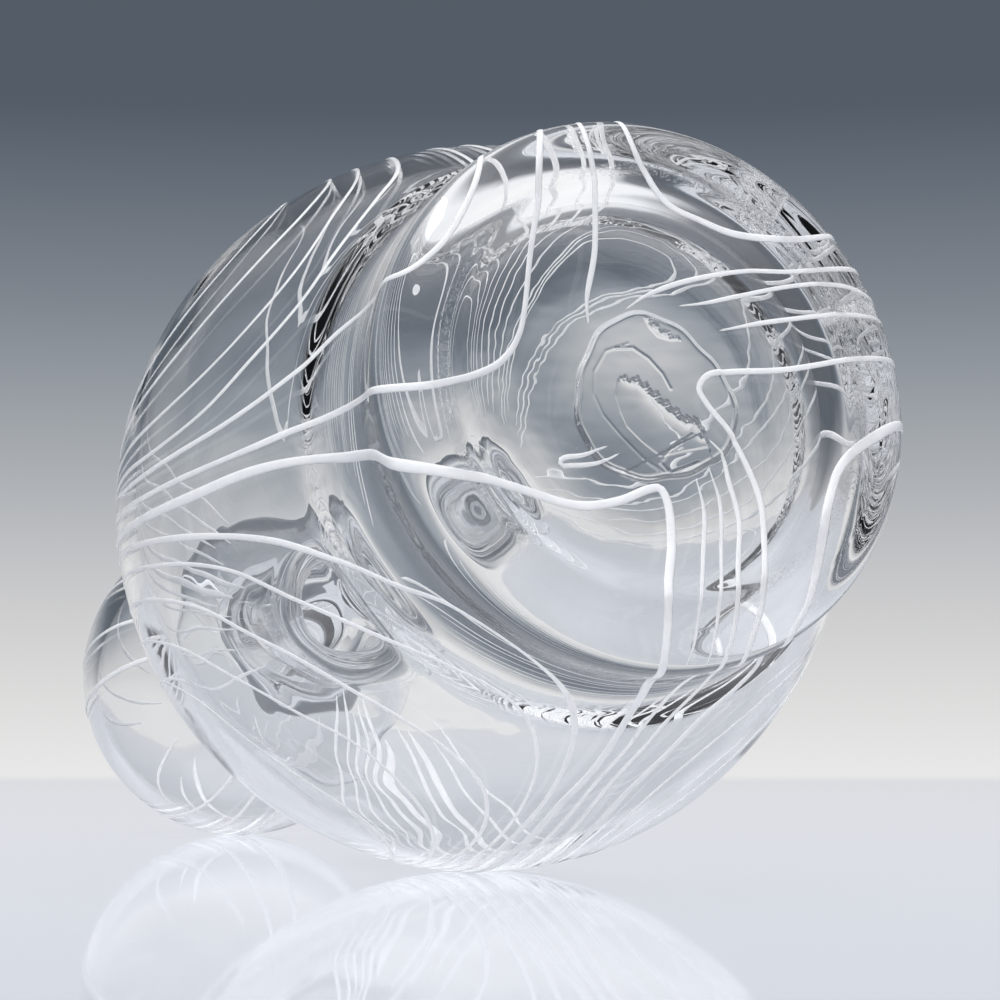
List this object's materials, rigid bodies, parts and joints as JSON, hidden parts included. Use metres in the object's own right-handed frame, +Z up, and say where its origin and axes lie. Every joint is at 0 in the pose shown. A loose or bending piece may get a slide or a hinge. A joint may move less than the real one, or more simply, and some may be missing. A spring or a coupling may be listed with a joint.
{
  "type": "liquor decanter",
  "caption": "Clear glass globe decanter with a heavy heel, hollow kick-up base, slim neck, blown ball stopper and trailed white threads.",
  "frame": {"origin": "centre of the worn foot ring, on the surface that it stands on", "axes": "+Z up along the axis of body and neck; -Y is the side that faces up in the picture, where the decanter lies on its side; +X is to the right of the base there"},
  "size_m": [0.1314, 0.1314, 0.2705],
  "materials": {
    "clear_glass": "clear fire-polished glass, colourless with a faint grey cast",
    "white_glass": "opaque white glass thread, smooth and softly glossy"
  },
  "bodies": {
    "decanter": {"vessel": "clear_glass", "back_swag_1": "white_glass", "back_swag_2": "white_glass", "back_swag_3": "white_glass", "far_swag_1": "white_glass", "far_swag_2": "white_glass", "heel_trail_left_1": "white_glass", "heel_trail_left_2": "white_glass", "heel_trail_right_1": "white_glass", "heel_trail_right_2": "white_glass", "heel_trail_top_1": "white_glass", "heel_trail_top_2": "white_glass", "heel_trail_top_3": "white_glass", "long_trail_hairpin_1": "white_glass", "long_trail_hairpin_2": "white_glass", "long_trail_hairpin_3": "white_glass", "long_trail_left_1": "white_glass", "long_trail_left_2": "white_glass", "long_trail_left_3": "white_glass", "long_trail_scar_1": "white_glass", "long_trail_scar_2": "white_glass", "long_trail_scar_3": "white_glass", "lower_swag_1": "white_glass", "lower_swag_2": "white_glass", "lower_swag_3": "white_glass", "lower_swag_4": "white_glass", "lower_swag_5": "white_glass", "right_trail_1_1": "white_glass", "right_trail_1_2": "white_glass", "right_trail_2_1": "white_glass", "right_trail_2_2": "white_glass", "right_trail_3_1": "white_glass", "right_trail_3_2": "white_glass", "scar_hairpin": "white_glass", "scar_trail_1_1": "white_glass", "scar_trail_1_2": "white_glass", "scar_trail_2_1": "white_glass", "scar_trail_2_2": "white_glass", "scar_trail_3_1": "white_glass", "scar_trail_3_2": "white_glass", "top_trail_1": "white_glass", "top_trail_2": "white_glass", "upper_swag_1": "white_glass", "upper_swag_2": "white_glass", "upper_swag_3": "white_glass", "upper_swag_4": "white_glass"},
    "stopper": {"stopper": "clear_glass", "ball_trail_1": "white_glass", "ball_trail_2": "white_glass", "ball_trail_3": "white_glass", "ball_trail_4": "white_glass", "ball_trail_5": "white_glass", "ball_trail_6": "white_glass"}
  },
  "joints": [
    {"name": "stopper_lift", "type": "slide", "parent": "decanter", "child": "stopper", "axis": [0, 0, 1], "range_m": [0, 0.06]}
  ]
}
